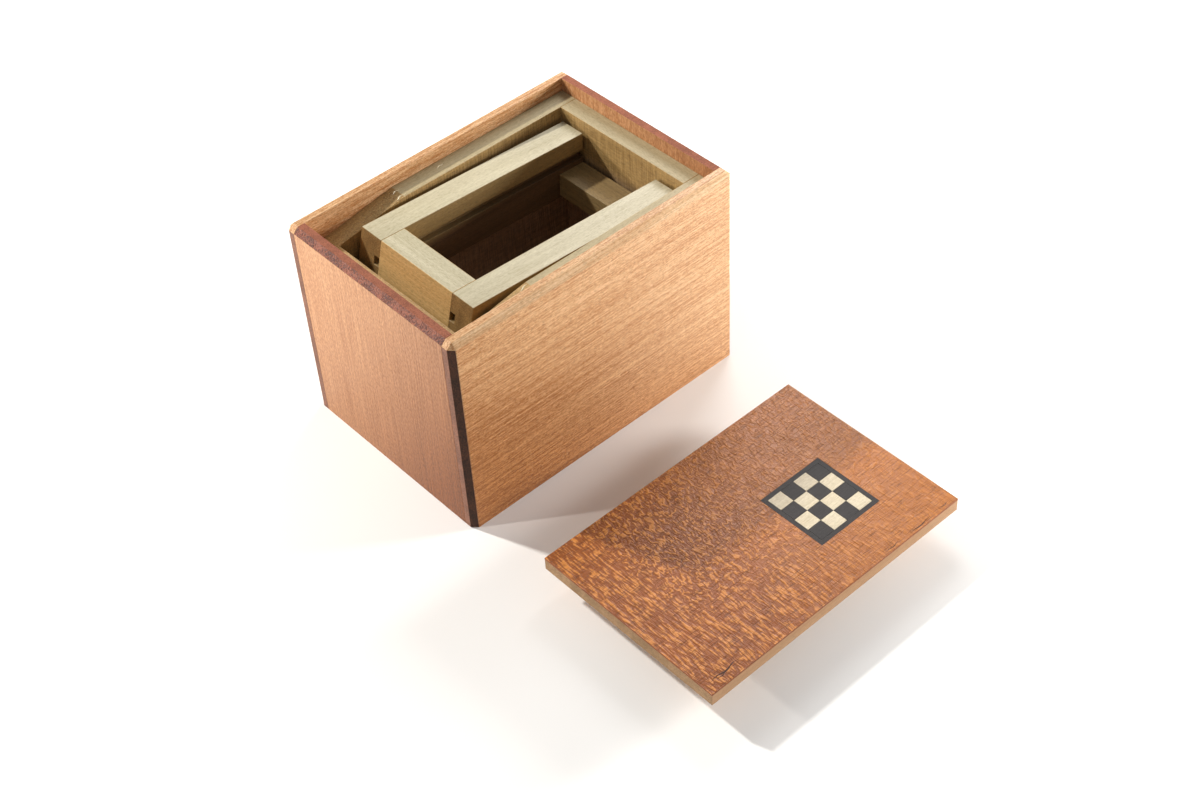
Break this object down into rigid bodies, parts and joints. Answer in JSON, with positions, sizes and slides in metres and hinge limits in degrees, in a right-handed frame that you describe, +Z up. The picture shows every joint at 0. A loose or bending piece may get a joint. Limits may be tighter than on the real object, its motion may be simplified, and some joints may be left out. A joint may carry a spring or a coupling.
{
  "type": "wooden puzzle box",
  "caption": "Small wooden puzzle box with a recessed lift-off lid, stepped linings with ramps, and a grooved wooden frame that rocks on pins inside.",
  "frame": {"origin": "centre of the box's base, on the table", "axes": "+X to the right along the box's long side, +Y from the front panel to the back panel, +Z up"},
  "size_m": [0.108, 0.1747, 0.073],
  "materials": {
    "side_wood": "planed and lightly sanded, bare",
    "end_wood": "planed and lightly sanded, bare",
    "bottom_wood": "planed, bare",
    "lining_wood": "planed, bare",
    "pin_wood": "turned dowel, bare",
    "frame_wood": "planed, bare",
    "frame_end_wood": "planed, bare",
    "lid_core_wood": "planed, bare",
    "veneer_wood": "sanded veneer, wiped with oil",
    "inlay_dark_wood": "sanded flush",
    "inlay_light_wood": "sanded flush",
    "key_wood": "planed, bare"
  },
  "bodies": {
    "box": {"side_panel_front": "side_wood", "side_panel_back": "side_wood", "end_panel_left": "end_wood", "end_panel_right": "end_wood", "bottom_panel": "bottom_wood", "lining_front": "lining_wood", "lining_back": "lining_wood", "lining_right": "lining_wood", "lining_left": "lining_wood", "frame_stop": "lining_wood", "pivot_pins": "pin_wood"},
    "rocking_frame": {"frame_rail_front": "frame_wood", "frame_rail_back": "frame_wood", "frame_end_left": "frame_end_wood", "frame_cross_rail": "frame_wood"},
    "lid": {"lid_core": "lid_core_wood", "lid_face_veneer": "veneer_wood", "inlay_border": "inlay_dark_wood", "inlay_light_squares": "inlay_light_wood", "inlay_dark_squares": "inlay_dark_wood", "key_spacer": "key_wood", "key_tongue_board": "key_wood"}
  },
  "joints": [
    {"name": "frame_rock", "type": "hinge", "parent": "box", "child": "rocking_frame", "pos_m": [-0.0185, 0, 0.057], "axis": [0, -1, 0], "range_deg": [0, 12.2]},
    {"name": "lid_lift", "type": "slide", "parent": "box", "child": "lid", "axis": [0, 0, 1], "range_m": [0, 0.09]}
  ]
}
